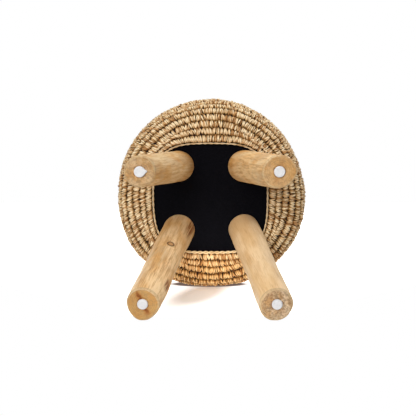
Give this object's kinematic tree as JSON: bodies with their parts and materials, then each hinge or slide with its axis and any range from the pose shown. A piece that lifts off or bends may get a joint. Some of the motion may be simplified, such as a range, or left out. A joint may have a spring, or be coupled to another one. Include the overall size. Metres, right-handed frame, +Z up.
{
  "type": "upholstered stool",
  "caption": "Low round stool with a deep cushion seat in a crocheted raffia cover, on thick splayed round log legs with nail-on floor glides.",
  "frame": {"origin": "on the floor, under the middle of the seat", "axes": "+Z up along the stool's own axis; the legs splay along the diagonals between X and Y"},
  "size_m": [0.4002, 0.4002, 0.457],
  "materials": {
    "raffia": "crocheted natural raffia, matt",
    "raffia_cord": "laid natural raffia cord, matt",
    "calico": "plain woven calico",
    "foam": "open-cell foam",
    "plywood": "raw plywood",
    "black_felt": "black non-woven cloth, matt",
    "log_wood": "sanded pale teak, oiled, satin to matt",
    "white_plastic": "white polyethylene, satin",
    "zinc_steel": "zinc-plated steel"
  },
  "bodies": {
    "root": {"raffia_cover": "raffia", "opening_drawcord": "raffia_cord", "lining_cover": "calico", "foam_cushion": "foam", "base_board": "plywood", "dust_cover": "black_felt", "leg_1": "log_wood", "leg_2": "log_wood", "leg_3": "log_wood", "leg_4": "log_wood", "glide_1": "white_plastic", "glide_2": "white_plastic", "glide_3": "white_plastic", "glide_4": "white_plastic", "glide_nail_1": "zinc_steel", "glide_nail_2": "zinc_steel", "glide_nail_3": "zinc_steel", "glide_nail_4": "zinc_steel", "hanger_bolt_1": "zinc_steel", "hanger_bolt_2": "zinc_steel", "hanger_bolt_3": "zinc_steel", "hanger_bolt_4": "zinc_steel", "insert_nut_1": "zinc_steel", "insert_nut_2": "zinc_steel", "insert_nut_3": "zinc_steel", "insert_nut_4": "zinc_steel", "cover_staple_1": "zinc_steel", "cover_staple_2": "zinc_steel", "cover_staple_3": "zinc_steel", "cover_staple_4": "zinc_steel", "cover_staple_5": "zinc_steel", "cover_staple_6": "zinc_steel", "cover_staple_7": "zinc_steel", "cover_staple_8": "zinc_steel", "cover_staple_9": "zinc_steel", "cover_staple_10": "zinc_steel", "cover_staple_11": "zinc_steel", "cover_staple_12": "zinc_steel"}
  },
  "joints": []
}
